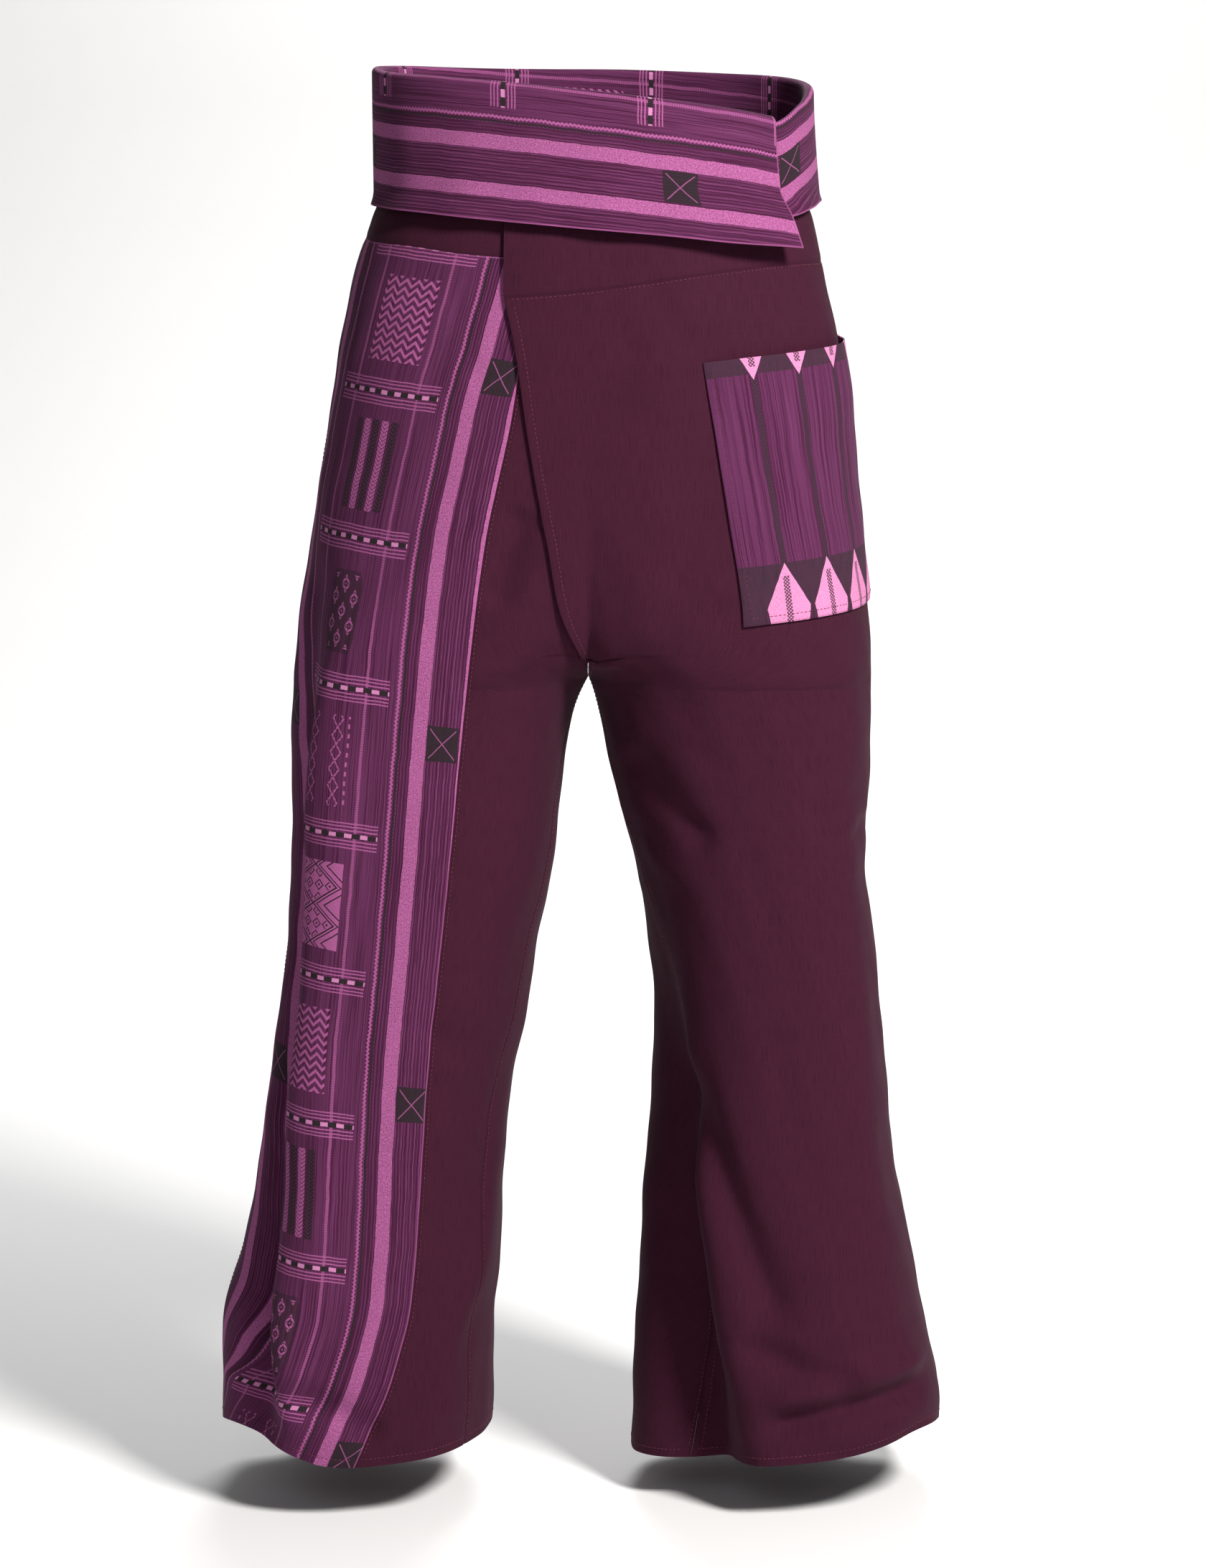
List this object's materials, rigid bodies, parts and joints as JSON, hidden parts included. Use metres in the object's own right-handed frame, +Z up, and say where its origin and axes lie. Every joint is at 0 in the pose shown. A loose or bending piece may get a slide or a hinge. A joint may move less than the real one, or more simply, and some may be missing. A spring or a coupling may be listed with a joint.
{
  "type": "thai fisherman pants",
  "caption": "Wide wrap trousers, worn and standing: waist folded down over a tie, woven strip down one leg, patch pocket on the other, open waist and hems.",
  "frame": {"origin": "the middle of the waist opening, at the height of the tie beneath the folded band", "axes": "+Z up the wearer, -Y out of the front, +X towards the wearer's left side"},
  "size_m": [0.5513, 0.2694, 1.062],
  "materials": {
    "dark_cloth": "matte plain weave",
    "woven_band": "matte handwoven stripes",
    "woven_strip": "matte handwoven stripes and small motifs",
    "woven_pocket": "matte handwoven with a charcoal border"
  },
  "bodies": {
    "root": {"waistband": "woven_band", "waist_tie": "dark_cloth", "yoke": "dark_cloth", "right_front": "dark_cloth", "right_strip": "woven_strip", "right_back": "dark_cloth", "left_leg": "dark_cloth", "pocket": "woven_pocket"}
  },
  "joints": []
}
